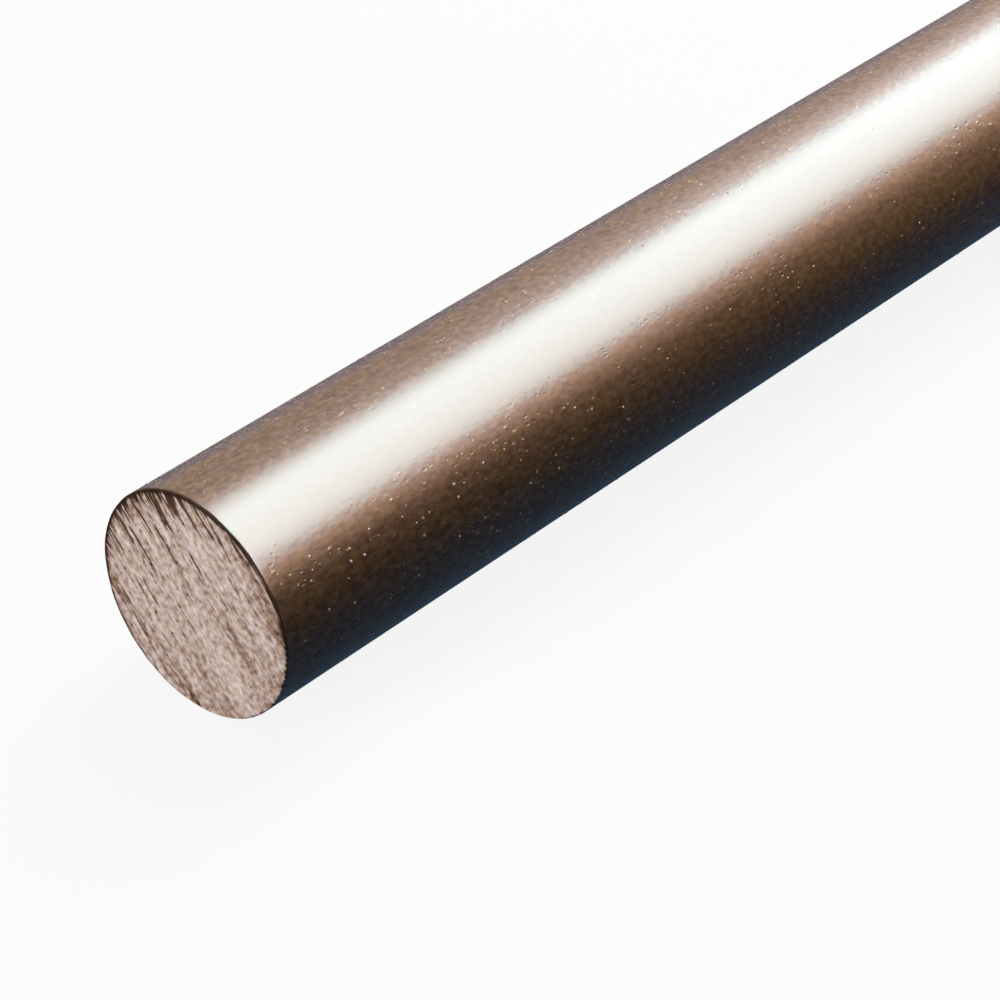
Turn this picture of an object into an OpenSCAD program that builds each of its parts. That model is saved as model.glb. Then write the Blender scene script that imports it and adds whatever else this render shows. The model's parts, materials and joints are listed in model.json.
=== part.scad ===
// Solid round rod of rigid PVC: extruded bar stock, sawn square at both ends.
// It lies on its side with its axis along X and the middle of its length at X = 0,
// and it touches the surface under it along the line Y = 0, Z = 0.

/* [Rod] */
// Outside diameter
rod_d = 30; // [10:0.5:150]
// Length from one sawn end to the other
rod_length = 500; // [100:1:2000]

/* [Sawn ends] */
// Width of the bevel left where the burr was taken off the edge of each end
edge_break = 0.3; // [0.1:0.05:2]

/* [Hidden] */
$fn = 96;

rod_r = rod_d / 2;
half_length = rod_length / 2;
pvc_brown = [0.50, 0.40, 0.34];

// Half of the lengthwise section, from the axis out to the skin
function half_section() = [
    [0, -half_length],
    [rod_r - edge_break, -half_length],
    [rod_r, -half_length + edge_break],
    [rod_r, half_length - edge_break],
    [rod_r - edge_break, half_length],
    [0, half_length]
];

// The rod is turned about its own axis, laid along X and set down on Z = 0
module round_rod() {
    color(pvc_brown)
        translate([0, 0, rod_r])
            rotate([0, 90, 0])
                rotate_extrude()
                    polygon(half_section());
}

round_rod();
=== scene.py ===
"""Looks of a solid PVC round rod: its sawn ends, its extruded skin and the studio that it is shown in."""

import json
import math

import bpy
from bpy.props import FloatProperty, FloatVectorProperty, IntProperty, PointerProperty
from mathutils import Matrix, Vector


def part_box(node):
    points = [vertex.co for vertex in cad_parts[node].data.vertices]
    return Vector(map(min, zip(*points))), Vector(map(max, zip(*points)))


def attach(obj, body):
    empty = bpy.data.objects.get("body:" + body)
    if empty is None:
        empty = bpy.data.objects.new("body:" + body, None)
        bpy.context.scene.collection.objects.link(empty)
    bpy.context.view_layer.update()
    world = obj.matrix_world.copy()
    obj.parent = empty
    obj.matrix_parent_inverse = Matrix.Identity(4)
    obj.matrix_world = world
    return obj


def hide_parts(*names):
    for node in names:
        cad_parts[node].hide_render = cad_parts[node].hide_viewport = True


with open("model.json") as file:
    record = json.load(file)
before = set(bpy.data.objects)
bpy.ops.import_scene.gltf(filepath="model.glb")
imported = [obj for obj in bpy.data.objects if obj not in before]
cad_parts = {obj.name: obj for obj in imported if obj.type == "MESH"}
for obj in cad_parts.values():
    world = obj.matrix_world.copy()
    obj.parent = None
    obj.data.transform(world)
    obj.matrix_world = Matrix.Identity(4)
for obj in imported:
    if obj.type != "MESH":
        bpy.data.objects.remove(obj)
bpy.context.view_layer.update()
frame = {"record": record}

bl_info = {
    "name": "PVC Round Rod",
    "version": (1, 0, 0),
    "blender": (4, 5, 0),
    "location": "View3D > Sidebar > Round Rod",
    "description": "Makes a sawn length of PVC round rod and a small studio to show it in",
    "category": "Object",
}

# The rod's own sizes, in metres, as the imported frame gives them
NODE = "round_rod"
BARREL = next(mount for mount in frame["record"]["mounts"] if mount["name"] == "barrel")
MILLIMETRE = 0.001
ROD_RADIUS = BARREL["dims"]["r_mm"] * MILLIMETRE
ROD_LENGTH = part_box(NODE)[1].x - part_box(NODE)[0].x
EDGE_BREAK = (ROD_LENGTH - BARREL["dims"]["length_mm"] * MILLIMETRE) / 2

# The same sizes in millimetres, in which the materials work
RADIUS_MM = ROD_RADIUS / MILLIMETRE
EDGE_MM = EDGE_BREAK / MILLIMETRE

# Names of what the rod's mesh carries for its materials
SAWN_MASK = "sawn"
SAW_TONE = "saw_tone"
SAW_PLACE = "saw_place"
NIB_KIND = "nib_kind"
BAKE_MAP = "OFBake"

# What the properties of one kind have in common
LENGTH = {"subtype": "DISTANCE", "unit": "LENGTH", "precision": 6}
COLOUR = {"subtype": "COLOR", "size": 3, "min": 0.0, "max": 1.0}


class RodShape(bpy.types.PropertyGroup):
    """Sizes of the marks that the saw and the extruder leave on the rod."""

    face_cells: IntProperty(
        name="Face cells", description="Cells across a sawn end, an even number", default=112, min=8
    )
    barrel_rows: IntProperty(
        name="Barrel rows", description="Rows of faces along half of the rod", default=11, min=2
    )
    saw_slope: FloatProperty(
        name="Saw slope", description="How steeply the saw marks run down towards the front",
        default=math.radians(48.4), subtype="ANGLE", unit="ROTATION"
    )
    saw_pitch: FloatProperty(
        name="Saw pitch", description="Width of a broad saw mark", default=0.0024, **LENGTH
    )
    saw_depth: FloatProperty(
        name="Saw depth", description="Depth of the broad saw marks", default=0.00012, **LENGTH
    )
    score_pitch: FloatProperty(
        name="Score pitch", description="Width of a fine score between the saw marks",
        default=0.0007, **LENGTH
    )
    score_depth: FloatProperty(
        name="Score depth", description="Depth of the fine scores", default=0.00004, **LENGTH
    )
    tear_depth: FloatProperty(
        name="Tear depth", description="Depth of the short tears in the sawn face",
        default=0.00014, **LENGTH
    )
    skin_wave: FloatProperty(
        name="Skin wave", description="Depth of the slow waves along the extruded skin",
        default=0.00002, **LENGTH
    )
    nib_radius: FloatProperty(
        name="Nib radius", description="Half the width of the largest nib or pit in the skin",
        default=0.00034, **LENGTH
    )
    nib_density: FloatProperty(
        name="Nib density", description="Most nibs and pits in a square metre of skin",
        default=430000.0, min=0.0
    )
    seed: IntProperty(name="Seed", description="Start of everything that is random", default=12)


class RodFinish(bpy.types.PropertyGroup):
    """Colours of the rod."""

    skin_colour: FloatVectorProperty(
        name="Skin", description="Colour of the extruded skin", default=(0.205, 0.099, 0.038), **COLOUR
    )
    skin_roughness: FloatProperty(
        name="Skin roughness", description="Roughness of the extruded skin", default=0.25,
        min=0.0, max=1.0, subtype="FACTOR"
    )
    # Pale specks are partly pale grains and partly painted glints; the nibs are painted in this colour as
    # painted glints
    speck_and_glint_colour: FloatVectorProperty(
        name="Pale specks", description="Colour of the pale specks and nibs in the skin",
        default=(0.62, 0.42, 0.20), **COLOUR
    )
    # In this colour are dark specks and torn edges, and also painted shade: in the pits and along the ends'
    # edges
    burr_and_shade_colour: FloatVectorProperty(
        name="Burrs", description="Colour of dark specks and pits, and of the ends' scraped and torn edges",
        default=(0.026, 0.011, 0.005), **COLOUR
    )
    sawn_colour: FloatVectorProperty(
        name="Sawn face", description="Colour of the sawn face between its marks",
        default=(0.54, 0.405, 0.335), **COLOUR
    )


class RodStudio(bpy.types.PropertyGroup):
    """Floor, card, strip lamp and camera."""

    floor_colour: FloatVectorProperty(
        name="Floor", description="Colour of the floor", default=(0.93, 0.93, 0.93), **COLOUR
    )
    card_front_colour: FloatVectorProperty(
        name="Dark card, front", description="Colour of the card that the skin reflects, at its front",
        default=(0.015, 0.030, 0.028), **COLOUR
    )
    card_side_colour: FloatVectorProperty(
        name="Dark card, side", description="Colour of the same card in front of the rod's far end",
        default=(0.80, 0.48, 0.22), **COLOUR
    )
    card_colour: FloatVectorProperty(
        name="Dark card, middle", description="Colour of the same card close to the rod",
        default=(0.040, 0.086, 0.150), **COLOUR
    )
    card_back_colour: FloatVectorProperty(
        name="Dark card, back", description="Colour of the same card behind the rod",
        default=(0.20, 0.36, 0.60), **COLOUR
    )
    strip_colour: FloatVectorProperty(
        name="Strip lamp", description="Colour along the middle of the strip lamp",
        default=(0.74, 0.92, 0.99), **COLOUR
    )
    strip_edge_colour: FloatVectorProperty(
        name="Strip lamp, edge", description="Colour along the front edge of the strip lamp's middle",
        default=(0.79, 0.92, 0.97), **COLOUR
    )
    strip_front_colour: FloatVectorProperty(
        name="Strip lamp, front", description="Colour of the weak glow at the strip lamp's front",
        default=(0.28, 0.165, 0.12), **COLOUR
    )
    strip_back_colour: FloatVectorProperty(
        name="Strip lamp, back", description="Colour of the weak glow at the strip lamp's back",
        default=(0.20, 0.19, 0.20), **COLOUR
    )
    focal_length: FloatProperty(
        name="Focal length", description="Camera lens, on a sensor 36 mm wide", default=128.9,
        subtype="DISTANCE_CAMERA", unit="CAMERA"
    )


# Levels between which most noise lies, from a hard contrast to a soft one
HARD = (0.30, 0.70)
MEDIUM = (0.25, 0.75)
SOFT = (0.20, 0.80)

MIDDLE_LEVEL = 0.5
WELD_DISTANCE = 0.000003


class Nodes:
    """Short calls that add nodes to a tree."""

    def __init__(self, tree):
        self.tree = tree

    def add(self, kind, inputs=None, **settings):
        """Adds a node with these settings, and fills or links its inputs by name or number."""
        node = self.tree.nodes.new(kind)
        for name, value in settings.items():
            setattr(node, name, value)
        for key, value in (inputs or {}).items():
            if isinstance(value, bpy.types.NodeSocket):
                self.tree.links.new(value, node.inputs[key])
            else:
                node.inputs[key].default_value = value
        return node

    def math(self, operation, *values):
        return self.add("ShaderNodeMath", dict(enumerate(values)), operation=operation).outputs[0]

    def vector(self, operation, *values):
        node = self.add("ShaderNodeVectorMath", dict(enumerate(values)), operation=operation)
        return node.outputs["Vector"]

    def length(self, value):
        return self.add("ShaderNodeVectorMath", {0: value}, operation="LENGTH").outputs["Value"]

    def scaled(self, value, scale):
        node = self.add("ShaderNodeVectorMath", {0: value, "Scale": scale}, operation="SCALE")
        return node.outputs["Vector"]

    def parts(self, value):
        return self.add("ShaderNodeSeparateXYZ", {0: value}).outputs

    def joined(self, x=0.0, y=0.0, z=0.0):
        return self.add("ShaderNodeCombineXYZ", {0: x, 1: y, 2: z}).outputs[0]

    def ranged(self, value, low, high, to_low=0.0, to_high=1.0, smooth=False):
        """Value carried from one range to another, and held at the ends of it."""
        kind = "SMOOTHSTEP" if smooth else "LINEAR"
        ends = {0: value, 1: low, 2: high, 3: to_low, 4: to_high}
        return self.add("ShaderNodeMapRange", ends, interpolation_type=kind).outputs[0]

    def noise(self, place, detail=0.0, seed=0.0):
        """Noise from 0 to 1, with cells one unit wide."""
        inputs = {"Vector": place, "W": seed, "Scale": 1.0, "Detail": detail}
        return self.add("ShaderNodeTexNoise", inputs, noise_dimensions="4D").outputs["Fac"]

    def pattern(self, place, cells, detail, seed):
        """Noise with this many cells in a unit each way."""
        return self.noise(self.vector("MULTIPLY", place, cells), detail, seed)

    def swing(self, level):
        """Noise moved so that it lies evenly about 0."""
        return self.math("SUBTRACT", level, MIDDLE_LEVEL)

    def mixed(self, factor, a, b, blend="MIX"):
        """Two colours mixed."""
        node = self.add("ShaderNodeMix", {0: factor, 6: a, 7: b}, data_type="RGBA", blend_type=blend)
        return node.outputs[2]

    def ramp(self, level, stops, interpolation="LINEAR"):
        """Colour from a level. Each stop is a level from 0 to 1 and the colour there."""
        node = self.add("ShaderNodeValToRGB", {"Fac": level})
        node.color_ramp.interpolation = interpolation
        elements = node.color_ramp.elements
        elements.remove(elements[1])
        for index, (at, colour) in enumerate(stops):
            element = elements.new(at) if index else elements[0]
            element.position = at
            element.color = colour
        return node.outputs["Color"]

    def attribute(self, name, output):
        """What the mesh carries under this name, in a material."""
        return self.add("ShaderNodeAttribute", attribute_name=name).outputs[output]

    def compared(self, operation, a, b):
        return self.add("FunctionNodeCompare", {0: a, 1: b}, operation=operation).outputs[0]

    def either(self, test, if_true, if_false):
        """One of two numbers."""
        inputs = {"Switch": test, "True": if_true, "False": if_false}
        return self.add("GeometryNodeSwitch", inputs, input_type="FLOAT").outputs[0]

    def position(self):
        return self.add("GeometryNodeInputPosition").outputs[0]

    def sawn(self):
        """True on the faces of the sawn ends and their edges."""
        node = self.add("GeometryNodeInputNamedAttribute", {"Name": SAWN_MASK}, data_type="BOOLEAN")
        return node.outputs[0]

    def stored(self, geometry, name, value, kind, domain):
        inputs = {"Geometry": geometry, "Name": name, "Value": value}
        return self.add("GeometryNodeStoreNamedAttribute", inputs, data_type=kind, domain=domain).outputs[0]

    def moved(self, geometry, **changes):
        """Points set to a new Position, or moved by an Offset, where the Selection says."""
        return self.add("GeometryNodeSetPosition", {"Geometry": geometry, **changes}).outputs[0]

    def grid(self, across, along):
        """A flat grid two units wide each way, of this many cells."""
        inputs = {"Size X": 2.0, "Size Y": 2.0}
        inputs["Vertices X"] = self.math("ADD", across, 1.0)
        inputs["Vertices Y"] = self.math("ADD", along, 1.0)
        return self.add("GeometryNodeMeshGrid", inputs).outputs["Mesh"]

    def together(self, *geometries):
        node = self.add("GeometryNodeJoinGeometry")
        for geometry in reversed(geometries):
            self.tree.links.new(geometry, node.inputs[0])
        return node.outputs[0]

    def welded(self, geometry):
        """Vertices within a few thousandths of a millimetre made one."""
        inputs = {"Geometry": geometry, "Distance": WELD_DISTANCE}
        return self.add("GeometryNodeMergeByDistance", inputs).outputs[0]

    def realized(self, geometry):
        return self.add("GeometryNodeRealizeInstances", {"Geometry": geometry}).outputs[0]


def new_geometry_tree(name, inputs):
    """A geometry tree with these inputs, its Nodes, and its inputs' sockets by name."""
    tree = bpy.data.node_groups.new(name, "GeometryNodeTree")
    tree.interface.new_socket("Geometry", in_out="OUTPUT", socket_type="NodeSocketGeometry")
    for label, kind in inputs.items():
        tree.interface.new_socket(label, in_out="INPUT", socket_type="NodeSocket" + kind)
    nodes = Nodes(tree)
    return tree, nodes, nodes.add("NodeGroupInput").outputs


def end_tree(nodes, geometry):
    nodes.add("NodeGroupOutput", {"Geometry": geometry})


HALF_INPUTS = {
    "Radius": "Float",
    "Half Length": "Float",
    "Edge Break": "Float",
    "Face Cells": "Int",
    "Barrel Rows": "Int",
    "Saw Slope": "Float",
    "Saw Pitch": "Float",
    "Saw Depth": "Float",
    "Score Pitch": "Float",
    "Score Depth": "Float",
    "Tear Depth": "Float",
    "Seed": "Float",
}

# The broken edge: lumps in its width round the rod, their detail, and the least and greatest share of it
EDGE_LUMPS = 3.0
EDGE_DETAIL = 2.0
EDGE_WIDTHS = (0.6, 1.4)


def edge_width(n, given, direction):
    """Width of the broken edge, which the scraper left a little uneven round the rod."""
    uneven = n.noise(n.scaled(direction, EDGE_LUMPS), EDGE_DETAIL, given["Seed"])
    return n.math("MULTIPLY", given["Edge Break"], n.ranged(uneven, *SOFT, *EDGE_WIDTHS))


def round_place(n, given, x, direction, radius):
    """A point at this distance from the rod's axis."""
    parts = n.parts(n.scaled(direction, radius))
    y = n.math("MULTIPLY", parts[0], -1.0)
    return n.joined(x, y, n.math("ADD", parts[1], given["Radius"]))


def sawn_disc(n, given):
    """The sawn face, a square grid drawn out to a disc so that its cells stay alike."""
    a, b, _ = n.parts(n.position())
    wide = n.compared("GREATER_EQUAL", n.math("ABSOLUTE", a), n.math("ABSOLUTE", b))
    eighth = math.pi / 4
    by_a = n.math("MULTIPLY", n.math("DIVIDE", b, a), eighth)
    by_b = n.math("SUBTRACT", 2 * eighth, n.math("MULTIPLY", n.math("DIVIDE", a, b), eighth))
    angle = n.either(wide, by_a, by_b)
    reach = n.either(wide, a, b)
    unit = n.scaled(n.joined(n.math("COSINE", angle), n.math("SINE", angle)), reach)
    direction = n.vector("NORMALIZE", unit)
    edge = n.math("SUBTRACT", given["Radius"], edge_width(n, given, direction))
    x = n.math("MULTIPLY", given["Half Length"], -1.0)
    place = round_place(n, given, x, direction, n.math("MULTIPLY", edge, n.length(unit)))
    return n.moved(n.grid(given["Face Cells"], given["Face Cells"]), Position=place)


SQUARE_SIDES = 4.0


def turned_strip(n, given, rows, profile):
    """A strip right round the rod, with as many cells as the disc has round its rim.

    The profile gives x and the radius from the share along the strip and the edge's width.
    """
    u, v, _ = n.parts(n.position())
    angle = n.math("MULTIPLY", n.math("ADD", u, 1.0), -math.pi)
    direction = n.joined(n.math("COSINE", angle), n.math("SINE", angle))
    share = n.ranged(v, -1.0, 1.0)
    x, radius = profile(share, edge_width(n, given, direction))
    around = n.math("MULTIPLY", given["Face Cells"], SQUARE_SIDES)
    return n.moved(n.grid(around, rows), Position=round_place(n, given, x, direction, radius))


# Rows of faces across the broken edge, and how much the rows of the barrel crowd towards the end
BEVEL_ROWS = 3.0
ROW_CROWDING = 2.5


def half_rod_tree():
    """Half of the rod, from its sawn end at -X to the middle."""
    tree, n, given = new_geometry_tree("Half rod", HALF_INPUTS)
    end = n.math("MULTIPLY", given["Half Length"], -1.0)

    def bevel(share, width):
        angle = n.math("MULTIPLY", share, math.pi / 2)
        back = n.math("MULTIPLY", width, n.math("SUBTRACT", 1.0, n.math("COSINE", angle)))
        inward = n.math("MULTIPLY", width, n.math("SUBTRACT", 1.0, n.math("SINE", angle)))
        return n.math("ADD", end, back), n.math("SUBTRACT", given["Radius"], inward)

    def barrel(share, width):
        start = n.math("ADD", end, width)
        left = n.math("SUBTRACT", 1.0, n.math("POWER", share, ROW_CROWDING))
        return n.math("MULTIPLY", start, left), given["Radius"]

    face = n.together(sawn_disc(n, given), turned_strip(n, given, BEVEL_ROWS, bevel))
    face = n.stored(face, SAWN_MASK, True, "BOOLEAN", "FACE")
    half = n.welded(n.together(face, turned_strip(n, given, given["Barrel Rows"], barrel)))
    end_tree(n, saw_marks(n, given, half))
    return tree


# Streaks in the sawn face: how many times longer than wide, detail, and a shift that sets each kind apart
BROAD_STREAKS = (12.0, 1.0, 0.0)
FINE_STREAKS = (12.0, 1.0, 5.0)
TEAR_STREAKS = (6.0, 0.0, 9.0)
PATCH_STREAKS = (2.5, 0.0, 13.0)
TEAR_LEVELS = (0.57, 0.70)
PATCH_LEVELS = (0.38, 0.58)

# Places along the saw's way, in radii from the middle, and the share of tears left where the saw came out
TEAR_START = -0.9
TEARS_LEFT = 0.15
FIRST_CUT = (-0.45, -0.85)

# Chips at the rim, in radii from the axis
CHIP_REACH = (0.94, 1.02)
CHIP_UNEVEN = 0.30

# How much each kind of mark counts in the face's tone
BROAD_TONE = 0.50
FINE_TONE = 0.20
TEAR_TONE = 0.22
PLAIN_TONE = 0.15

# How far from the end a point still belongs to it, in widths of the broken edge
END_REACH = 2.0


def saw_marks(n, given, half):
    """Broad marks, fine scores and short tears, cut into the sawn face along the saw's way."""
    radius = given["Radius"]
    x, y, z = n.parts(n.position())
    z = n.math("SUBTRACT", z, radius)
    sine = n.math("SINE", given["Saw Slope"])
    cosine = n.math("COSINE", given["Saw Slope"])
    across = n.math("SUBTRACT", n.math("MULTIPLY", y, sine), n.math("MULTIPLY", z, cosine))
    along = n.math("ADD", n.math("MULTIPLY", y, cosine), n.math("MULTIPLY", z, sine))
    along = n.math("MULTIPLY", along, -1.0)

    def streaks(width, stretch, detail, shift):
        """Noise in streaks of this width."""
        long = n.math("MULTIPLY", width, stretch)
        place = n.joined(n.math("DIVIDE", across, width), n.math("DIVIDE", along, long), shift)
        return n.noise(place, detail, given["Seed"])

    def radii(share):
        return n.math("MULTIPLY", radius, share)

    broad = streaks(given["Saw Pitch"], *BROAD_STREAKS)
    fine = streaks(given["Score Pitch"], *FINE_STREAKS)
    torn = n.ranged(streaks(given["Score Pitch"], *TEAR_STREAKS), *TEAR_LEVELS, smooth=True)
    patchy = n.ranged(streaks(given["Saw Pitch"], *PATCH_STREAKS), *PATCH_LEVELS, smooth=True)
    entry = n.ranged(along, radii(TEAR_START), radius, 1.0, TEARS_LEFT)
    torn = n.math("MULTIPLY", torn, n.math("MULTIPLY", patchy, entry))

    out = n.length(n.joined(0.0, y, z))
    uneven = n.math("MULTIPLY", n.swing(fine), CHIP_UNEVEN)
    reach = n.math("ADD", n.math("DIVIDE", out, radius), uneven)
    first_cut = n.ranged(along, *map(radii, FIRST_CUT))
    chipped = n.math("MULTIPLY", n.ranged(reach, *CHIP_REACH, smooth=True), first_cut)
    torn = n.math("MAXIMUM", torn, chipped)

    depth = n.math("MULTIPLY", given["Saw Depth"], n.ranged(broad, *MEDIUM, 1.0, 0.0))
    depth = n.math("ADD", depth, n.math("MULTIPLY", given["Score Depth"], n.ranged(fine, *MEDIUM, 1.0, 0.0)))
    depth = n.math("ADD", depth, n.math("MULTIPLY", given["Tear Depth"], torn))
    edge_start = n.math("SUBTRACT", radius, n.math("MULTIPLY", given["Edge Break"], EDGE_WIDTHS[1]))
    depth = n.math("MULTIPLY", depth, n.ranged(out, edge_start, radius, 1.0, 0.0))

    tone = n.math("MULTIPLY_ADD", broad, BROAD_TONE, n.math("MULTIPLY_ADD", fine, FINE_TONE, PLAIN_TONE))
    tone = n.math("SUBTRACT", tone, n.math("MULTIPLY", torn, TEAR_TONE))
    half = n.stored(half, SAW_TONE, tone, "FLOAT", "POINT")
    place = n.joined(across, along, n.math("MULTIPLY", given["Seed"], radius))
    half = n.stored(half, SAW_PLACE, place, "FLOAT_VECTOR", "POINT")
    limit = n.math("SUBTRACT", n.math("MULTIPLY", given["Edge Break"], END_REACH), given["Half Length"])
    return n.moved(half, Offset=n.joined(depth), Selection=n.compared("LESS_THAN", x, limit))


ROD_INPUTS = HALF_INPUTS | {
    "Skin Wave": "Float",
    "Nib Radius": "Float",
    "Nib Density": "Float",
    "Skin": "Material",
    "Sawn Face": "Material",
}

# Each half's turn about Z, and what is added to its seed
HALF_TURNS = ((0.0, 0.0), (math.pi, 31.0))


def rod_tree():
    """The whole rod: two halves, the second turned about Z, with waves, nibs and pits in the skin."""
    tree, n, given = new_geometry_tree("Round rod", ROD_INPUTS)
    half_tree = half_rod_tree()
    halves = []
    for turn, seed in HALF_TURNS:
        inputs = {name: given[name] for name in HALF_INPUTS}
        inputs["Seed"] = n.math("ADD", given["Seed"], seed)
        half = n.add("GeometryNodeGroup", inputs, node_tree=half_tree).outputs[0]
        inputs = {"Geometry": half, "Rotation": (0.0, 0.0, turn)}
        halves.append(n.add("GeometryNodeTransform", inputs).outputs[0])
    rod = n.welded(n.together(*halves))
    rod = skin_waves(n, given, rod)
    rod = nibs_and_pits(n, given, rod)
    rod = shaded(n, given, rod)
    rod = bake_map(n, given, rod)
    inputs = {"Geometry": n.realized(rod), "Material": given["Skin"]}
    rod = n.add("GeometryNodeSetMaterial", inputs).outputs[0]
    inputs = {"Geometry": rod, "Selection": n.sawn(), "Material": given["Sawn Face"]}
    end_tree(n, n.add("GeometryNodeSetMaterial", inputs).outputs[0])
    return tree


def from_axis(n, given):
    """The way out from the rod's axis to a point of its skin."""
    _, y, z = n.parts(n.position())
    return n.vector("NORMALIZE", n.joined(0.0, y, n.math("SUBTRACT", z, given["Radius"])))


def inside_ends(n, given, margin):
    """True where a point is further than this from both ends."""
    x = n.parts(n.position())[0]
    return n.compared("LESS_THAN", n.math("ABSOLUTE", x), n.math("SUBTRACT", given["Half Length"], margin))


# Waves in the skin: length, how often they change round the rod, detail, and the plain stretch at each end
WAVE_LENGTH = 0.045
WAVE_TURNS = 1.2
WAVE_DETAIL = 1.0
WAVE_MARGIN = 0.004


def skin_waves(n, given, rod):
    """Slow hollows along the skin, as an extruded rod has."""
    x = n.parts(n.position())[0]
    out = from_axis(n, given)
    place = n.vector("ADD", n.joined(n.math("DIVIDE", x, WAVE_LENGTH)), n.scaled(out, WAVE_TURNS))
    hollow = n.math("MULTIPLY", given["Skin Wave"], -1.0)
    depth = n.math("MULTIPLY", n.noise(place, WAVE_DETAIL, given["Seed"]), hollow)
    return n.moved(rod, Offset=n.scaled(out, depth), Selection=inside_ends(n, given, WAVE_MARGIN))


# The strip of skin that is rubbed smooth: angles, up from the front, between which it sets in and ends
RUBBED_FROM = (math.radians(44), math.radians(52))
RUBBED_TO = (math.radians(76), math.radians(84))


def rubbed(n, y, z, least):
    """1 over most of the skin, and least along the strip, high on the front, that a guide rubbed smooth."""
    angle = n.math("ARCTAN2", z, n.math("MULTIPLY", y, -1.0))
    before = n.ranged(angle, *RUBBED_FROM, 1.0, least, smooth=True)
    after = n.ranged(angle, *RUBBED_TO, least, 1.0, smooth=True)
    return n.math("MAXIMUM", before, after)


# Nibs stand out of the skin and pits go into it, by this share of a grain's height
NIB_SHIFT = 0.5
RAISED_SHARE = 0.40
SUNK_SHARE = 0.25


def nibs_and_pits(n, given, rod):
    """Small nibs that stand on the skin, and pits in it, gathered in loose clusters."""
    raised = small_marks(n, given, rod, 0, RAISED_SHARE, -NIB_SHIFT)
    sunk = small_marks(n, given, rod, 1, SUNK_SHARE, NIB_SHIFT)
    inputs = {"Mesh 1": rod, "Mesh 2": sunk}
    pitted = n.add("GeometryNodeMeshBoolean", inputs, operation="DIFFERENCE", solver="MANIFOLD")
    nibbed = n.add("GeometryNodeMeshBoolean", operation="UNION", solver="MANIFOLD")
    for mesh in (pitted.outputs["Mesh"], raised):
        n.tree.links.new(mesh, nibbed.inputs["Mesh 2"])
    return nibbed.outputs["Mesh"]


# Where nibs and pits lie: clear of the floor and the ends, apart from each other, in clusters
NIB_MARGIN = 0.002
NIB_SPACING = 0.0006
CLUSTER_LENGTH = 0.020
CLUSTER_WIDTH = 0.006
CLUSTER_DETAIL = 1.0
CLUSTER_LEVELS = (0.46, 0.64)
CLUSTER_LEAST = 0.06
RUBBED_NIBS = 0.04

# Their sizes as shares of the largest, with more small ones than large, and the shares of it each way
NIB_SIZES = (0.45, 1.0)
NIB_SIZE_POWER = 1.3
NIB_LEAST = (0.7, 0.7, 0.35)
NIB_MOST = (1.3, 1.0, 0.65)
SIZE_SEED = 4
SHAPE_SEED = 8


def small_marks(n, given, rod, seed, share, shift):
    """Flattened grains, set on the skin at random, clear of the floor, and shifted out of it or into it."""
    _, y, z = n.parts(n.position())
    clear = n.compared("GREATER_THAN", z, NIB_MARGIN)
    clear = n.add("FunctionNodeBooleanMath", {0: clear, 1: inside_ends(n, given, NIB_MARGIN)}).outputs[0]
    z = n.math("SUBTRACT", z, given["Radius"])
    cells = (1 / CLUSTER_LENGTH, 1 / CLUSTER_WIDTH, 1 / CLUSTER_WIDTH)
    cluster = n.pattern(n.position(), cells, CLUSTER_DETAIL, given["Seed"])
    cluster = n.ranged(cluster, *CLUSTER_LEVELS, CLUSTER_LEAST, 1.0)
    inputs = {
        "Mesh": rod,
        "Selection": clear,
        "Distance Min": NIB_SPACING,
        "Density Max": n.math("MULTIPLY", given["Nib Density"], share),
        "Density Factor": n.math("MULTIPLY", cluster, rubbed(n, y, z, RUBBED_NIBS)),
        "Seed": seed,
    }
    points = n.add("GeometryNodeDistributePointsOnFaces", inputs, distribute_method="POISSON").outputs
    grain_mesh = n.add("GeometryNodeMeshIcoSphere", {"Radius": 1.0, "Subdivisions": 1}).outputs["Mesh"]
    inputs = {"Geometry": grain_mesh, "Translation": (0.0, 0.0, shift)}
    grain_mesh = n.add("GeometryNodeTransform", inputs).outputs[0]
    grain_mesh = n.stored(grain_mesh, NIB_KIND, -shift / NIB_SHIFT, "FLOAT", "POINT")
    inputs = {2: NIB_SIZES[0], 3: NIB_SIZES[1], "Seed": seed + SIZE_SEED}
    size = n.add("FunctionNodeRandomValue", inputs, data_type="FLOAT").outputs[1]
    size = n.math("MULTIPLY", given["Nib Radius"], n.math("POWER", size, NIB_SIZE_POWER))
    inputs = {0: NIB_LEAST, 1: NIB_MOST, "Seed": seed + SHAPE_SEED}
    shape = n.add("FunctionNodeRandomValue", inputs, data_type="FLOAT_VECTOR").outputs[0]
    inputs = {
        "Points": points["Points"],
        "Instance": grain_mesh,
        "Rotation": points["Rotation"],
        "Scale": n.scaled(shape, size),
    }
    return n.realized(n.add("GeometryNodeInstanceOnPoints", inputs).outputs[0])


END_SHARP_ANGLE = math.radians(32)
SKIN_SHARP_ANGLE = math.radians(4)


def shaded(n, given, rod):
    """Smooth shading, with sharp edges round nibs and pits, and where the ends' faces meet at an angle."""
    rod = n.add("GeometryNodeSetShadeSmooth", {"Geometry": rod, "Shade Smooth": True}).outputs[0]
    angle = n.add("GeometryNodeInputMeshEdgeAngle").outputs["Unsigned Angle"]
    on_skin = inside_ends(n, given, NIB_MARGIN / 2)
    limit = n.ranged(on_skin, 0.0, 1.0, END_SHARP_ANGLE, SKIN_SHARP_ANGLE)
    return n.stored(rod, "sharp_edge", n.compared("GREATER_THAN", angle, limit), "BOOLEAN", "EDGE")


# The flat layout, one unit wide and high: height of each unrolled half of the skin, and the gaps
UNROLLED_HEIGHT = 0.30
MAP_GAP = 0.006


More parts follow.
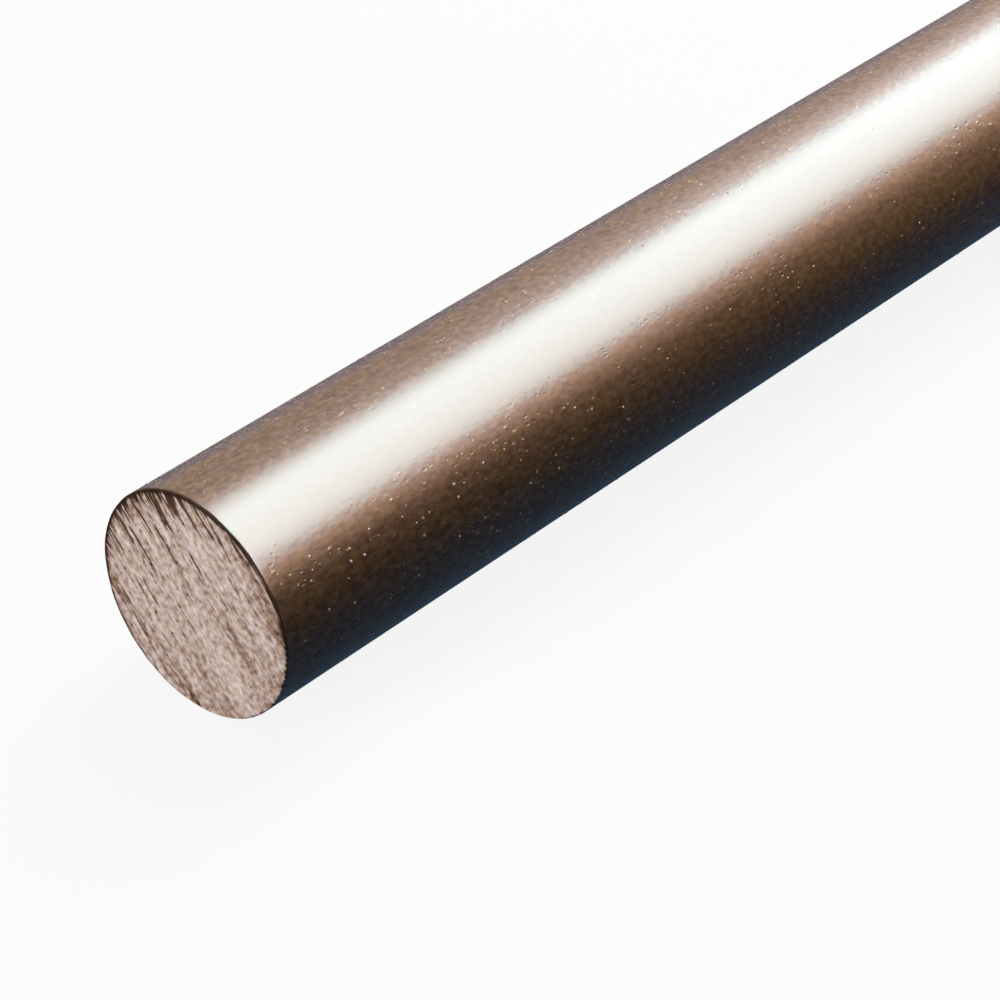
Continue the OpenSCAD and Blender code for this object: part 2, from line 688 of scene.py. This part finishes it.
def bake_map(n, given, rod):
    """A flat layout of the surface: each half of the skin as a strip, and the sawn ends above them."""
    x, y, z = n.parts(n.position())
    z = n.math("SUBTRACT", z, given["Radius"])

    def on_face(value):
        return n.add("GeometryNodeFieldOnDomain", {0: value}, data_type="FLOAT", domain="FACE").outputs[0]

    middle_angle = n.math("ARCTAN2", on_face(y), on_face(z))
    turn = n.math("SUBTRACT", n.math("ARCTAN2", y, z), middle_angle)
    angle = n.math("ADD", middle_angle, n.math("WRAP", turn, math.pi, -math.pi))
    far = n.math("GREATER_THAN", on_face(x), 0.0)

    share = n.math("DIVIDE", n.math("ABSOLUTE", x), given["Half Length"])
    strip_u = n.ranged(share, 0.0, 1.0, MAP_GAP, 1 - MAP_GAP)
    strip_v = n.ranged(angle, -math.pi, math.pi, MAP_GAP, UNROLLED_HEIGHT)
    strip_v = n.math("ADD", strip_v, n.math("MULTIPLY", far, UNROLLED_HEIGHT + MAP_GAP))
    low = 2 * (UNROLLED_HEIGHT + MAP_GAP)
    side = 1 - MAP_GAP - low
    disc_u = n.ranged(n.math("DIVIDE", y, given["Radius"]), -1.0, 1.0, MAP_GAP, MAP_GAP + side)
    disc_u = n.math("ADD", disc_u, n.math("MULTIPLY", far, side + MAP_GAP))
    disc_v = n.ranged(n.math("DIVIDE", z, given["Radius"]), -1.0, 1.0, low, low + side)

    mask = n.sawn()
    place = n.joined(n.either(mask, disc_u, strip_u), n.either(mask, disc_v, strip_v))
    return n.stored(rod, BAKE_MAP, place, "FLOAT2", "CORNER")


def new_material(name):
    """A material with one shader, its Nodes and that shader."""
    material = bpy.data.materials.new(name)
    material.use_nodes = True
    nodes = Nodes(material.node_tree)
    return material, nodes, material.node_tree.nodes["Principled BSDF"]


def rgba(colour, scale=(1.0, 1.0, 1.0)):
    """A colour with its parts scaled, and with full alpha."""
    return tuple(part * by for part, by in zip(colour, scale)) + (1.0,)


GRAIN_INPUTS = {"Place": "Vector", "Grain Size": "Float", "Speck Spacing": "Float", "Speck Size": "Float"}
GRAIN_OUTPUTS = ("Tone", "Pale Specks", "Dark Specks")
GRAIN_DETAIL = 3.0
GRAIN_SEED = 3.0

# Specks: their least and greatest size, where their edge fades, and which cells hold pale and dark ones
SPECK_SIZES = (0.5, 1.0)
SPECK_EDGE = (0.55, 1.0)
PALE_CELLS = (0.66, 0.96)
DARK_CELLS = (0.45, 0.20)


def grain_group():
    """Mottled grain of the plastic: a tone from 0 to 1, and where there are pale and dark specks."""
    tree = bpy.data.node_groups.new("pvc_grain", "ShaderNodeTree")
    for name, kind in GRAIN_INPUTS.items():
        tree.interface.new_socket(name, in_out="INPUT", socket_type="NodeSocket" + kind)
    for name in GRAIN_OUTPUTS:
        tree.interface.new_socket(name, in_out="OUTPUT", socket_type="NodeSocketFloat")
    n = Nodes(tree)
    given = n.add("NodeGroupInput").outputs
    place = n.scaled(given["Place"], n.math("DIVIDE", 1.0, given["Grain Size"]))
    tone = n.ranged(n.noise(place, GRAIN_DETAIL, GRAIN_SEED), *MEDIUM, smooth=True)
    place = n.scaled(given["Place"], n.math("DIVIDE", 1.0, given["Speck Spacing"]))
    cells = n.add("ShaderNodeTexVoronoi", {"Vector": place, "Scale": 1.0}).outputs
    kind, size, _ = n.parts(cells["Color"])
    size = n.math("MULTIPLY", given["Speck Size"], n.ranged(size, 0.0, 1.0, *SPECK_SIZES))
    distance = n.math("MULTIPLY", cells["Distance"], given["Speck Spacing"])
    near = n.ranged(n.math("DIVIDE", distance, size), *SPECK_EDGE, 1.0, 0.0, smooth=True)
    pale = n.math("MULTIPLY", near, n.ranged(kind, *PALE_CELLS))
    dark = n.math("MULTIPLY", near, n.ranged(kind, *DARK_CELLS))
    n.add("NodeGroupOutput", dict(zip(GRAIN_OUTPUTS, (tone, pale, dark))))
    return tree


def grain(n, group, place, *sizes):
    """The grain's tone, pale specks and dark specks, in a material. Sizes are in millimetres."""
    node = n.add("ShaderNodeGroup", dict(zip(GRAIN_INPUTS, (place, *sizes))), node_tree=group)
    return [node.outputs[name] for name in GRAIN_OUTPUTS]


def toned(n, tone, colour, stops):
    """A colour made darker or paler by a tone. Each stop is a tone and the colour's scale there."""
    return n.ramp(tone, [(at, rgba(colour, scale)) for at, *scale in stops])


PVC_IOR = 1.54

# Patterns in the skin: noise cells in a millimetre along and across the rod, detail and seed
SKIN_LINES = ((0.008, 2.6, 2.6), 2.0, 1.0)
SKIN_CLOUDS = ((0.05, 0.12, 0.12), 2.0, 2.0)
SKIN_TINT_CELLS = ((0.9, 0.9, 0.9), 1.0, 5.0)
SPECK_CLUSTERS = ((0.05, 0.17, 0.17), 1.0, 7.0)
EDGE_WANDER = ((0.0, 0.35, 0.35), 2.0, 6.0)

# Grain of the skin, drawn out along the rod: size of the mottle, spacing and size of the specks
SKIN_GRAIN = (0.75, 0.65, 0.24)
SKIN_DRAWN = (0.6, 1.0, 1.0)

# How much each pattern counts in the skin's tone, and how much of it is left where the skin is rubbed smooth
LINE_TONE = 0.25
MOTTLE_TONE = 1.1
CLOUD_TONE = 0.30
RUBBED_LEFT = 0.08
SKIN_STOPS = ((0.0, 0.60, 0.48, 0.30), (0.50, 1.0, 1.0, 1.0), (1.0, 1.45, 1.65, 2.10))
SKIN_TINTS = ((1.06, 1.02, 0.70, 1.0), (0.95, 0.96, 1.35, 1.0))

# Specks gather in clusters, and some are left between them. Pale specks are partly pale grains and partly
# painted glints
SPECK_LEVELS = (0.46, 0.62)
SPECKS_LEFT = 0.25
DARK_SPECKS = 0.8

# The dark band on the skin at each end, partly scraped wear and partly painted shade: its greatest width in
# widths of the broken edge, its blur in millimetres and its strength
SCRAPED_AND_SHADED_WIDTH = 1.8
SCRAPED_AND_SHADED_BLUR = 0.08
SCRAPED_AND_SHADED_STRENGTH = 0.85

# Nibs and pits are this much rougher. Heights are in units of the bump
NIB_ROUGHNESS = 0.65
LINE_HEIGHT = 0.15
SPECK_HEIGHT = 3.0
SKIN_BUMP = 0.000012


def skin_material(finish, grain_tree):
    """Extruded skin: glossy brown, mottled and specked, with faint lines along it. Its pale specks are
    partly painted glints, its nibs painted glints, its pits painted shade, and its dark edges partly scraped
    wear and partly painted shade.
    """
    material, n, shader = new_material("extruded_skin")
    place = n.scaled(n.add("ShaderNodeTexCoord").outputs["Object"], 1 / MILLIMETRE)
    x, y, z = n.parts(place)
    lines = n.pattern(place, *SKIN_LINES)
    clouds = n.pattern(place, *SKIN_CLOUDS)
    mottle, pale, dark = grain(n, grain_tree, n.vector("MULTIPLY", place, SKIN_DRAWN), *SKIN_GRAIN)
    marked = rubbed(n, y, n.math("SUBTRACT", z, RADIUS_MM), RUBBED_LEFT)
    uneven = n.math("MULTIPLY_ADD", n.swing(lines), LINE_TONE, n.math("MULTIPLY", mottle, MOTTLE_TONE))
    uneven = n.math("MULTIPLY", n.math("SUBTRACT", uneven, MOTTLE_TONE * MIDDLE_LEVEL), marked)
    tone = n.math("MULTIPLY_ADD", n.swing(clouds), CLOUD_TONE, n.math("ADD", uneven, MIDDLE_LEVEL))
    colour = toned(n, tone, finish.skin_colour, SKIN_STOPS)
    tint = n.ranged(n.pattern(place, *SKIN_TINT_CELLS), *HARD, smooth=True)
    colour = n.mixed(marked, colour, n.mixed(tint, *SKIN_TINTS), "MULTIPLY")

    cluster = n.ranged(n.pattern(place, *SPECK_CLUSTERS), *SPECK_LEVELS, SPECKS_LEFT, 1.0, smooth=True)
    cluster = n.math("MULTIPLY", cluster, marked)
    pale = n.math("MULTIPLY", pale, cluster)
    dark = n.math("MULTIPLY", dark, n.math("MULTIPLY", cluster, DARK_SPECKS))
    nib = n.attribute(NIB_KIND, "Fac")
    # Dark specks are dark grains; the pits are painted dark as painted shade in them
    colour = n.mixed(n.math("MAXIMUM", dark, n.ranged(nib, 0.0, -1.0)), colour, rgba(finish.burr_and_shade_colour))
    # Nibs painted pale as painted glints, and pale specks that are partly painted glints
    colour = n.mixed(n.math("MAXIMUM", pale, n.ranged(nib, 0.0, 1.0)), colour, rgba(finish.speck_and_glint_colour))

    # A dark band on the skin beside each broken edge: partly scraped wear, partly painted shade
    width = n.ranged(n.pattern(place, *EDGE_WANDER), *HARD, EDGE_MM, EDGE_MM * SCRAPED_AND_SHADED_WIDTH)
    inner = n.math("SUBTRACT", ROD_LENGTH / 2 / MILLIMETRE, width)
    past = n.math("SUBTRACT", n.math("ABSOLUTE", x), inner)
    scraped_and_shaded = n.ranged(past, -SCRAPED_AND_SHADED_BLUR, SCRAPED_AND_SHADED_BLUR, smooth=True)
    colour = n.mixed(n.math("MULTIPLY", scraped_and_shaded, SCRAPED_AND_SHADED_STRENGTH), colour, rgba(finish.burr_and_shade_colour))
    n.tree.links.new(colour, shader.inputs["Base Color"])

    rough = n.math("MULTIPLY_ADD", n.math("ABSOLUTE", nib), NIB_ROUGHNESS, finish.skin_roughness)
    n.tree.links.new(rough, shader.inputs["Roughness"])
    height = n.math("MULTIPLY", n.math("MULTIPLY_ADD", lines, LINE_HEIGHT, mottle), marked)
    height = n.math("MULTIPLY_ADD", n.math("SUBTRACT", pale, dark), SPECK_HEIGHT, height)
    bump = n.add("ShaderNodeBump", {"Strength": 1.0, "Distance": SKIN_BUMP, "Height": height})
    n.tree.links.new(bump.outputs[0], shader.inputs["Normal"])
    shader.inputs["IOR"].default_value = PVC_IOR
    return material


# Patterns in the sawn face: noise cells in a millimetre across and along the saw's way, detail and seed
SAW_HAIRS = ((3.4, 0.30, 1.0), 1.0, 4.0)
SAW_STROKES = ((1.7, 0.13, 1.0), 0.0, 8.0)
SAW_BANDS = ((0.55, 0.07, 1.0), 0.0, 11.0)
SAW_RAGS = ((2.6, 0.10, 1.0), 1.0, 9.0)
SAWN_TINT_CELLS = ((0.7, 0.7, 0.7), 1.0, 5.0)
STROKE_LEVELS = (0.60, 0.68)
BAND_LEVELS = (0.58, 0.72)

# Grain of the sawn face, drawn out along the saw's way: size of the speckle, spacing and size of the specks
SAWN_GRAIN = (0.75, 0.85, 0.26)
SAWN_DRAWN = (1.0, 0.8, 1.0)

# How much each pattern counts in the face's tone, the pairs from where the saw came out to where it went in
SPECKLE_TONE = 0.50
HAIR_TONES = (0.30, 1.0)
STROKE_TONE = 0.72
BAND_TONE = 0.20
PALE_TONES = (0.18, 0.42)
DARK_TONE = 0.34
RIM_TONE = 0.12
TONE_LIFT = 0.05
SAWN_STOPS = (
    (0.0, 0.16, 0.10, 0.07),
    (0.28, 0.60, 0.50, 0.44),
    (0.50, 1.0, 1.0, 1.0),
    (0.75, 1.35, 1.48, 1.58),
    (1.0, 1.62, 1.90, 2.10),
)
SAWN_TINTS = ((1.02, 1.00, 0.93, 1.0), (0.98, 0.985, 1.05, 1.0))

# Places along the saw's way and out from the axis, in radii
STROKE_PLACES = (-1.0, 0.5)
STROKES_LEFT = 0.05
RIM_START = 0.72
TORN_PLACES = (-0.35, -0.80)
TORN_REACH = (1.00, 1.14)
TORN_UNEVEN = 0.75
TORN_GAIN = 0.10
THIN_RIM_PLACES = (-0.2, 0.8)

# The dark rim, partly torn edge and partly painted shade: unevenness and thinning in millimetres, reach in
# widths of the broken edge, and strength
RIM_UNEVEN = 1.2
RIM_THINNING = 0.5
RIM_REACH = (2.4, 1.2)
RIM_STRENGTH = 0.97

SAWN_SPECULAR = 0.05
SAWN_ROUGHNESS = 0.62
HAIR_HEIGHT = 0.5
SPECKLE_HEIGHT = 0.25
SAWN_BUMP = 0.00006
SAWN_BUMP_STRENGTH = 0.7


def sawn_material(finish, grain_tree):
    """Sawn face: paler and matt, speckled, with streaks and strokes along the saw's way, and a dark rim that
    is partly torn edge and partly painted shade.
    """
    material, n, shader = new_material("sawn_face")
    place = n.scaled(n.attribute(SAW_PLACE, "Vector"), 1 / MILLIMETRE)
    along = n.parts(place)[1]
    out = n.length(n.vector("MULTIPLY", place, (1.0, 1.0, 0.0)))

    def radii(shares):
        return [RADIUS_MM * share for share in shares]

    speckle, pale, dark = grain(n, grain_tree, n.vector("MULTIPLY", place, SAWN_DRAWN), *SAWN_GRAIN)
    hairs = n.pattern(place, *SAW_HAIRS)
    strokes = n.ranged(n.pattern(place, *SAW_STROKES), *STROKE_LEVELS, smooth=True)
    bands = n.ranged(n.pattern(place, *SAW_BANDS), *BAND_LEVELS, smooth=True)
    entry = n.ranged(along, *radii(STROKE_PLACES), 1.0, STROKES_LEFT)
    rim = n.ranged(out, RADIUS_MM * RIM_START, RADIUS_MM, smooth=True)
    tone = n.math("MULTIPLY_ADD", n.swing(speckle), SPECKLE_TONE, n.attribute(SAW_TONE, "Fac"))
    tone = n.math("MULTIPLY_ADD", n.swing(hairs), n.ranged(entry, 0.0, 1.0, *HAIR_TONES), tone)
    tone = n.math("SUBTRACT", tone, n.math("MULTIPLY", n.math("MULTIPLY", strokes, entry), STROKE_TONE))
    tone = n.math("SUBTRACT", tone, n.math("MULTIPLY", bands, BAND_TONE))
    pale = n.math("MULTIPLY", pale, n.ranged(entry, 0.0, 1.0, *PALE_TONES))
    tone = n.math("ADD", tone, n.math("SUBTRACT", pale, n.math("MULTIPLY", dark, DARK_TONE)))
    tone = n.math("SUBTRACT", tone, n.math("MULTIPLY", rim, RIM_TONE))
    colour = toned(n, n.math("ADD", tone, TONE_LIFT), finish.sawn_colour, SAWN_STOPS)
    tint = n.ranged(n.pattern(place, *SAWN_TINT_CELLS), *HARD, smooth=True)
    colour = n.mixed(1.0, colour, n.mixed(tint, *SAWN_TINTS), "MULTIPLY")

    # Torn chips at the saw's first cut and a dark rim along the broken edge, mixed to the dark colour below:
    # partly torn edge, partly painted shade
    ragged = n.swing(n.pattern(place, *SAW_RAGS))
    reach = n.math("MULTIPLY_ADD", ragged, TORN_UNEVEN, n.math("DIVIDE", out, RADIUS_MM))
    first_cut = n.ranged(along, *radii(TORN_PLACES))
    reach = n.math("ADD", reach, n.math("MULTIPLY", first_cut, TORN_GAIN))
    torn = n.ranged(reach, *TORN_REACH, smooth=True)
    torn = n.math("MULTIPLY", torn, n.math("GREATER_THAN", first_cut, 0.0))
    edge = n.math("MULTIPLY_ADD", ragged, RIM_UNEVEN, out)
    edge = n.math("SUBTRACT", edge, n.ranged(along, *radii(THIN_RIM_PLACES), 0.0, RIM_THINNING))
    edge = n.ranged(edge, *[RADIUS_MM - EDGE_MM * widths for widths in RIM_REACH], smooth=True)
    torn = n.math("MAXIMUM", torn, edge)
    colour = n.mixed(n.math("MULTIPLY", torn, RIM_STRENGTH), colour, rgba(finish.burr_and_shade_colour))
    n.tree.links.new(colour, shader.inputs["Base Color"])
    shader.inputs["Specular IOR Level"].default_value = SAWN_SPECULAR
    shader.inputs["Roughness"].default_value = SAWN_ROUGHNESS
    shader.inputs["IOR"].default_value = PVC_IOR
    height = n.math("MULTIPLY_ADD", hairs, HAIR_HEIGHT, n.math("MULTIPLY", speckle, SPECKLE_HEIGHT))
    inputs = {"Strength": SAWN_BUMP_STRENGTH, "Distance": SAWN_BUMP, "Height": height}
    n.tree.links.new(n.add("ShaderNodeBump", inputs).outputs[0], shader.inputs["Normal"])
    return material


class ROD_OT_make_rod(bpy.types.Operator):
    """Make the rod, with its sawn ends and extruded skin"""

    bl_idname = "rod.make_rod"
    bl_label = "Make Rod"

    def execute(self, context):
        shape = context.scene.rod_shape
        finish = context.scene.rod_finish
        grain_tree = grain_group()
        values = {
            "Radius": ROD_RADIUS,
            "Half Length": ROD_LENGTH / 2,
            "Edge Break": EDGE_BREAK,
            "Face Cells": shape.face_cells,
            "Barrel Rows": shape.barrel_rows,
            "Saw Slope": shape.saw_slope,
            "Saw Pitch": shape.saw_pitch,
            "Saw Depth": shape.saw_depth,
            "Score Pitch": shape.score_pitch,
            "Score Depth": shape.score_depth,
            "Tear Depth": shape.tear_depth,
            "Seed": float(shape.seed),
            "Skin Wave": shape.skin_wave,
            "Nib Radius": shape.nib_radius,
            "Nib Density": shape.nib_density,
            "Skin": skin_material(finish, grain_tree),
            "Sawn Face": sawn_material(finish, grain_tree),
        }
        rod = grown("sawn_rod", rod_tree(), values)
        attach(rod, "root")
        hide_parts(NODE)
        return {"FINISHED"}


def grown(name, tree, values):
    """An object with the plain mesh that a geometry tree makes from these values."""
    piece = bpy.data.objects.new(name, bpy.data.meshes.new(name))
    bpy.context.scene.collection.objects.link(piece)
    modifier = piece.modifiers.new(tree.name, "NODES")
    modifier.node_group = tree
    for socket in tree.interface.items_tree:
        if socket.in_out == "INPUT":
            modifier[socket.identifier] = values[socket.name]
    depsgraph = bpy.context.evaluated_depsgraph_get()
    mesh = bpy.data.meshes.new_from_object(piece.evaluated_get(depsgraph))
    piece.modifiers.remove(modifier)
    piece.data = mesh
    mesh.name = name
    if not mesh.polygons:
        raise RuntimeError(f"the tree {tree.name} made no faces")
    return piece


class ROD_OT_make_stage(bpy.types.Operator):
    """Make the floor, the lamps, the world and the camera"""

    bl_idname = "rod.make_stage"
    bl_label = "Make Stage"

    def execute(self, context):
        studio = context.scene.rod_studio
        make_floor(studio)
        make_dark_card(studio)
        make_strip_light(studio)
        make_lamps()
        make_world()
        make_camera(studio)
        context.scene.view_settings.view_transform = "Standard"
        return {"FINISHED"}


def add_card(name, outline, faces, material):
    """A flat or folded card, part of the stage."""
    mesh = bpy.data.meshes.new(name)
    mesh.from_pydata(outline, [], faces)
    mesh.materials.append(material)
    card = bpy.data.objects.new(name, mesh)
    bpy.context.scene.collection.objects.link(card)
    return card


def seen_directly(n):
    """1 for rays that show what they hit, to the camera or in gloss or glass, and 0 for rays of light."""
    path = n.add("ShaderNodeLightPath").outputs
    seen = n.math("MAXIMUM", path["Is Camera Ray"], path["Is Glossy Ray"])
    return n.math("MAXIMUM", seen, path["Is Transmission Ray"])


FLOOR_SIZE = 14.0
FLOOR_ROUGHNESS = 0.9
FLOOR_GLOW = 0.89


def make_floor(studio):
    """A pale floor that is seen as nearly white, and keeps a soft shadow."""
    material, n, shader = new_material("pale_floor")
    shader.inputs["Base Color"].default_value = rgba(studio.floor_colour)
    shader.inputs["Roughness"].default_value = FLOOR_ROUGHNESS
    shader.inputs["Specular IOR Level"].default_value = 0.0
    glow = n.add("ShaderNodeEmission").outputs[0]
    share = n.math("MULTIPLY", seen_directly(n), FLOOR_GLOW)
    mixed = n.add("ShaderNodeMixShader", {0: share, 1: shader.outputs[0], 2: glow}).outputs[0]
    n.tree.links.new(mixed, n.tree.nodes["Material Output"].inputs["Surface"])
    far = FLOOR_SIZE / 2
    outline = [(-far, -far, 0.0), (far, -far, 0.0), (far, far, 0.0), (-far, far, 0.0)]
    add_card("floor", outline, [(0, 1, 2, 3)], material)


def new_glow_material(name):
    """An empty material for the stage, and its Nodes."""
    material = bpy.data.materials.new(name)
    material.use_nodes = True
    material.node_tree.nodes.clear()
    return material, Nodes(material.node_tree)


# The dark card's place and size, in metres, and where its colours fade into each other
CARD_LIFT = 0.0002
CARD_ENDS = (-1.0, 2.0)
CARD_FRONT = -0.5
CARD_BACK = 1.5
CARD_FOLD = 0.20
CARD_SLANT = 0.73
CARD_SIDE_FADE = (-0.235, 0.145)
CARD_FRONT_FADE = (-0.078, -0.028)
CARD_BACK_FADE = (0.02, 0.20)


def make_dark_card(studio):
    """A dark card on the floor, folded up at the front, that only the skin's gloss and bounced light see."""
    material, n = new_glow_material("dark_card")
    x, y, _ = n.parts(n.add("ShaderNodeTexCoord").outputs["Object"])
    aside = n.ranged(n.math("MULTIPLY_ADD", y, CARD_SLANT, x), *CARD_SIDE_FADE)
    colour = n.mixed(aside, rgba(studio.card_front_colour), rgba(studio.card_side_colour))
    colour = n.mixed(n.ranged(y, *CARD_FRONT_FADE), colour, rgba(studio.card_colour))
    colour = n.mixed(n.ranged(y, *CARD_BACK_FADE), colour, rgba(studio.card_back_colour))
    glow = n.add("ShaderNodeEmission", {"Color": colour}).outputs[0]
    behind = n.add("ShaderNodeNewGeometry").outputs["Backfacing"]
    clear = n.add("ShaderNodeBsdfTransparent").outputs[0]
    mixed = n.add("ShaderNodeMixShader", {0: behind, 1: glow, 2: clear}).outputs[0]
    n.add("ShaderNodeOutputMaterial", {"Surface": mixed})
    material.cycles.emission_sampling = "NONE"
    left, right = CARD_ENDS
    outline = [
        (left, CARD_BACK, CARD_LIFT), (right, CARD_BACK, CARD_LIFT),
        (right, CARD_FRONT, CARD_LIFT), (left, CARD_FRONT, CARD_LIFT),
        (right, CARD_FRONT, CARD_FOLD), (left, CARD_FRONT, CARD_FOLD),
    ]
    card = add_card("dark_card", outline, [(0, 3, 2, 1), (3, 5, 4, 2)], material)
    card.visible_camera = False
    card.visible_shadow = False


# The strip lamp's place and size, in metres. Its back spreads out towards the rod's far end
STRIP_HEIGHT = 1.0
STRIP_LEFT, STRIP_MIDDLE, STRIP_RIGHT = -1.0, 0.85, 3.2
STRIP_FRONT, STRIP_BACK = -3.0, 1.7
STRIP_SPREAD = 0.50

# Where each of its colours lies, from front to back
STRIP_DARK_AT = -2.9
STRIP_WARM_AT = -1.42
STRIP_CORE = (-0.47, 0.26)
STRIP_GREY_AT = 0.72
STRIP_FAINT_AT = 1.25
STRIP_FAINT = (0.4, 0.4, 0.4)
BLACK = (0.0, 0.0, 0.0, 1.0)

# Its level at two places along the rod, and how much weaker or stronger its back is there
STRIP_ENDS = (0.40, 1.20)
STRIP_LEVELS = (18.5, 12.67)
STRIP_LEAN = (-0.85, 0.40)
STRIP_BACK_FADE = (0.45, 0.75)


def make_strip_light(studio):
    """A long soft lamp over the rod, brightest along its middle, that shows only as gloss on the skin."""
    material, n = new_glow_material("strip_light")
    x, y, _ = n.parts(n.add("ShaderNodeTexCoord").outputs["Object"])
    back = n.math("MULTIPLY_ADD", n.math("SUBTRACT", x, STRIP_MIDDLE), STRIP_SPREAD, STRIP_BACK)
    places = (
        (STRIP_DARK_AT, BLACK),
        (STRIP_WARM_AT, rgba(studio.strip_front_colour)),
        (STRIP_CORE[0], rgba(studio.strip_edge_colour)),
        (STRIP_CORE[1], rgba(studio.strip_colour)),
        (STRIP_GREY_AT, rgba(studio.strip_back_colour)),
        (STRIP_FAINT_AT, rgba(studio.strip_back_colour, STRIP_FAINT)),
    )
    stops = [((at - STRIP_FRONT) / (STRIP_BACK - STRIP_FRONT), colour) for at, colour in places]
    colour = n.ramp(n.ranged(y, STRIP_FRONT, back), stops, "EASE")
    level = n.ranged(x, *STRIP_ENDS, *STRIP_LEVELS)
    lean = n.math("MULTIPLY", n.ranged(x, *STRIP_ENDS, *STRIP_LEAN), n.ranged(y, *STRIP_BACK_FADE))
    level = n.math("MULTIPLY", level, n.math("ADD", lean, 1.0))
    glow = n.add("ShaderNodeEmission", {"Color": colour, "Strength": level}).outputs[0]
    n.add("ShaderNodeOutputMaterial", {"Surface": glow})
    near_back = STRIP_BACK + STRIP_SPREAD * (STRIP_LEFT - STRIP_MIDDLE)
    far_back = STRIP_BACK + STRIP_SPREAD * (STRIP_RIGHT - STRIP_MIDDLE)
    outline = [
        (STRIP_LEFT, STRIP_FRONT, STRIP_HEIGHT), (STRIP_LEFT, near_back, STRIP_HEIGHT),
        (STRIP_RIGHT, far_back, STRIP_HEIGHT), (STRIP_RIGHT, STRIP_FRONT, STRIP_HEIGHT),
    ]
    card = add_card("strip_light", outline, [(0, 1, 2, 3)], material)
    card.visible_camera = False
    card.visible_diffuse = False
    card.visible_shadow = False


NEAR_END = Vector((-ROD_LENGTH / 2, 0.0, ROD_RADIUS))


def add_lamp(name, way, distance, size, level):
    """A square lamp, this way and far from the near end. The level is that of white paper that faces it."""
    data = bpy.data.lights.new(name, "AREA")
    data.shape = "SQUARE"
    data.size = size
    data.energy = level * (math.pi * distance) ** 2
    lamp = bpy.data.objects.new(name, data)
    bpy.context.scene.collection.objects.link(lamp)
    way = Vector(way).normalized()
    lamp.location = NEAR_END + way * distance
    lamp.rotation_euler = way.to_track_quat("Z", "Y").to_euler()
    lamp.visible_camera = False
    lamp.visible_glossy = False


def make_lamps():
    """Lamps for the skin's own colour and for each sawn end, none of which shows in the gloss."""
    add_lamp("top_lamp", way=(0.65, 0.12, 0.885), distance=1.1, size=0.6, level=0.58)
    add_lamp("end_lamp", way=(-0.92, 0.22, 0.22), distance=6.0, size=2.8, level=0.95)
    add_lamp("far_lamp", way=(0.95, 0.20, 0.10), distance=6.0, size=2.8, level=0.55)


WORLD_LIGHT = (0.06, 0.06, 0.06, 1.0)
WORLD_SEEN = (0.72, 0.68, 0.65, 1.0)


def make_world():
    """A world that lights little, and shows as a pale wall."""
    world = bpy.data.worlds.new("studio")
    world.use_nodes = True
    bpy.context.scene.world = world
    n = Nodes(world.node_tree)
    colour = n.mixed(seen_directly(n), WORLD_LIGHT, WORLD_SEEN)
    n.tree.links.new(colour, world.node_tree.nodes["Background"].inputs["Color"])


# The camera's place in rod radii from the middle of the near end, the way it looks, and its sensor
CAMERA_OFFSET = Vector((-15.345, -16.620, 16.455))
CAMERA_LOOK = Vector((0.61991, 0.54313, -0.56633))
SENSOR_WIDTH = 36.0
NEAREST_SEEN = 0.01
FARTHEST_SEEN = 100.0


def make_camera(studio):
    data = bpy.data.cameras.new("camera")
    data.sensor_width = SENSOR_WIDTH
    data.lens = studio.focal_length
    data.clip_start = NEAREST_SEEN
    data.clip_end = FARTHEST_SEEN
    camera = bpy.data.objects.new("camera", data)
    bpy.context.scene.collection.objects.link(camera)
    camera.location = NEAR_END + CAMERA_OFFSET * ROD_RADIUS
    camera.rotation_euler = CAMERA_LOOK.to_track_quat("-Z", "Y").to_euler()
    bpy.context.scene.camera = camera


class ROD_PT_panel(bpy.types.Panel):
    """Sizes, colours and buttons for the rod"""

    bl_label = "Round Rod"
    bl_idname = "ROD_PT_panel"
    bl_space_type = "VIEW_3D"
    bl_region_type = "UI"
    bl_category = "Round Rod"

    def draw(self, context):
        layout = self.layout
        for group in (context.scene.rod_shape, context.scene.rod_finish, context.scene.rod_studio):
            column = layout.column(align=True)
            for name in group.__annotations__:
                column.prop(group, name)
        layout.operator(ROD_OT_make_rod.bl_idname)
        layout.operator(ROD_OT_make_stage.bl_idname)


CLASSES = (RodShape, RodFinish, RodStudio, ROD_OT_make_rod, ROD_OT_make_stage, ROD_PT_panel)


def register():
    for cls in CLASSES:
        bpy.utils.register_class(cls)
    bpy.types.Scene.rod_shape = PointerProperty(type=RodShape)
    bpy.types.Scene.rod_finish = PointerProperty(type=RodFinish)
    bpy.types.Scene.rod_studio = PointerProperty(type=RodStudio)


def unregister():
    for name in ("rod_studio", "rod_finish", "rod_shape"):
        delattr(bpy.types.Scene, name)
    for cls in reversed(CLASSES):
        bpy.utils.unregister_class(cls)


def main():
    register()
    bpy.ops.rod.make_rod()
    bpy.ops.rod.make_stage()


if __name__ == "__main__":
    main()
